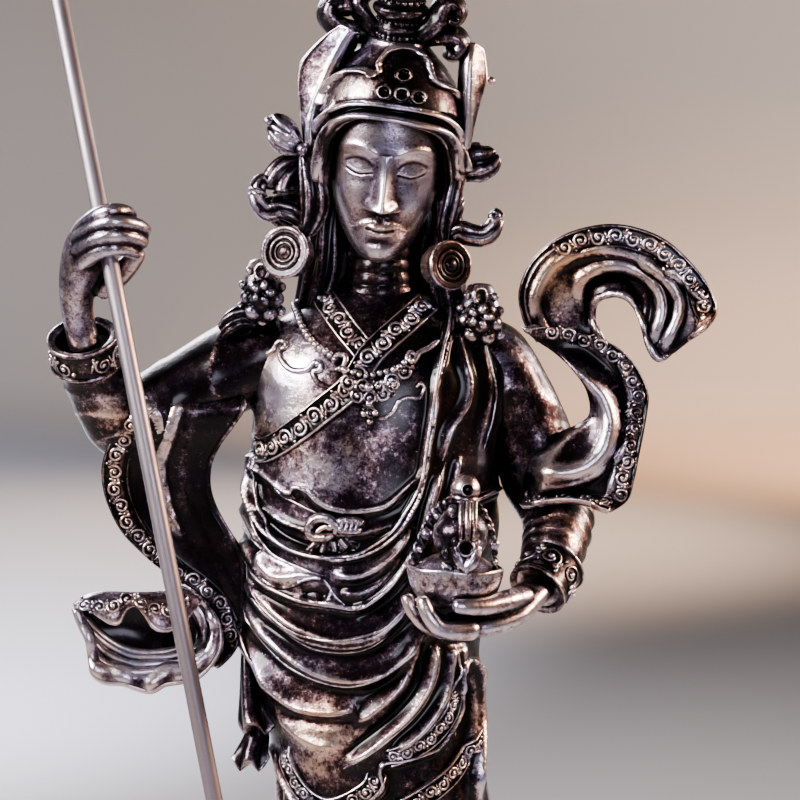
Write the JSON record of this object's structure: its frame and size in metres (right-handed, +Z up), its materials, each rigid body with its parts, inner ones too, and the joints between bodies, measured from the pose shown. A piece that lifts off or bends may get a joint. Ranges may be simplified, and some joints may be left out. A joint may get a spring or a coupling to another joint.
{
  "type": "guru rinpoche statue",
  "caption": "Cast metal statue of a standing robed master in a lotus hat, holding a tall staff and a skull cup, wide sleeves flying out, on an oval lotus plinth.",
  "frame": {"origin": "middle of the plinth's underside, which stands on the ground", "axes": "+Z up along the figure, -Y to the front, +X to the side of the hand that holds the cup"},
  "size_m": [0.1392, 0.0769, 0.2826],
  "materials": {
    "cast_metal": "oxidised silver-white copper, near black in the hollows and polished bright on the raised parts",
    "rod_metal": "drawn rod, satin grey, lightly toned"
  },
  "bodies": {
    "root": {"figure": "cast_metal", "staff": "rod_metal", "lotus_plinth": "cast_metal"}
  },
  "joints": []
}
